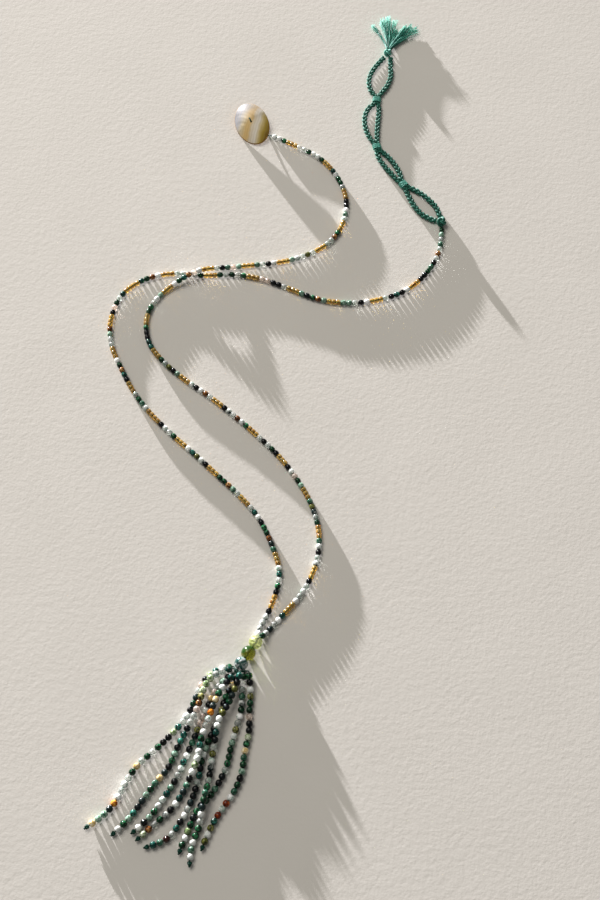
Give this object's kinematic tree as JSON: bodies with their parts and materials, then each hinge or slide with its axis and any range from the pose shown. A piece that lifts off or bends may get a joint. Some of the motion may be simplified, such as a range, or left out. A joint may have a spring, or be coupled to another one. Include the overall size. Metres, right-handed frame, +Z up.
{
  "type": "tassel necklace",
  "caption": "Long necklace of small mixed stone beads laid open, with a beaded tassel under three larger beads, a shell button and a braided cord closure with loops.",
  "frame": {"origin": "on the surface that the necklace lies on, below the middle of the beads, tassel and button, measured without the closure's free cords", "axes": "+Z up, away from the surface; +Y from the tassel towards the closure; +X to the right when the tassel is nearest"},
  "size_m": [0.1464, 0.3977, 0.0072],
  "materials": {
    "shell": "polished mother of pearl, silver at one side and golden brown at the other",
    "stone_beads": "small polished stone beads in white, clear, green, teal and black, with groups of amber glass seed beads",
    "tassel_beads": "small polished stone beads, mostly greens, white and black",
    "lime_glass": "translucent faceted lime glass",
    "olive_glass": "translucent polished olive green",
    "agate": "polished, mottled teal and white",
    "thread": "dark green twisted thread",
    "braid": "emerald silky braided cord"
  },
  "bodies": {
    "root": {"shell_button": "shell", "button_stitch": "thread", "neck_string_a": "stone_beads", "neck_string_b": "stone_beads", "lime_bead": "lime_glass", "olive_bead": "olive_glass", "agate_bead": "agate", "core_thread": "thread", "tassel_strand_1": "tassel_beads", "tassel_strand_2": "tassel_beads", "tassel_strand_3": "tassel_beads", "tassel_strand_4": "tassel_beads", "tassel_strand_5": "tassel_beads", "tassel_strand_6": "tassel_beads", "tassel_strand_7": "tassel_beads", "tassel_strand_8": "tassel_beads", "tassel_thread_1": "thread", "tassel_thread_2": "thread", "tassel_thread_3": "thread", "tassel_thread_4": "thread", "tassel_thread_5": "thread", "tassel_thread_6": "thread", "tassel_thread_7": "thread", "tassel_thread_8": "thread", "end_knot": "braid", "closure_cord_left": "braid", "closure_cord_right": "braid", "loop_wrap_1": "thread", "loop_wrap_2": "thread", "loop_wrap_3": "thread", "cord_tuft": "braid"}
  },
  "joints": []
}
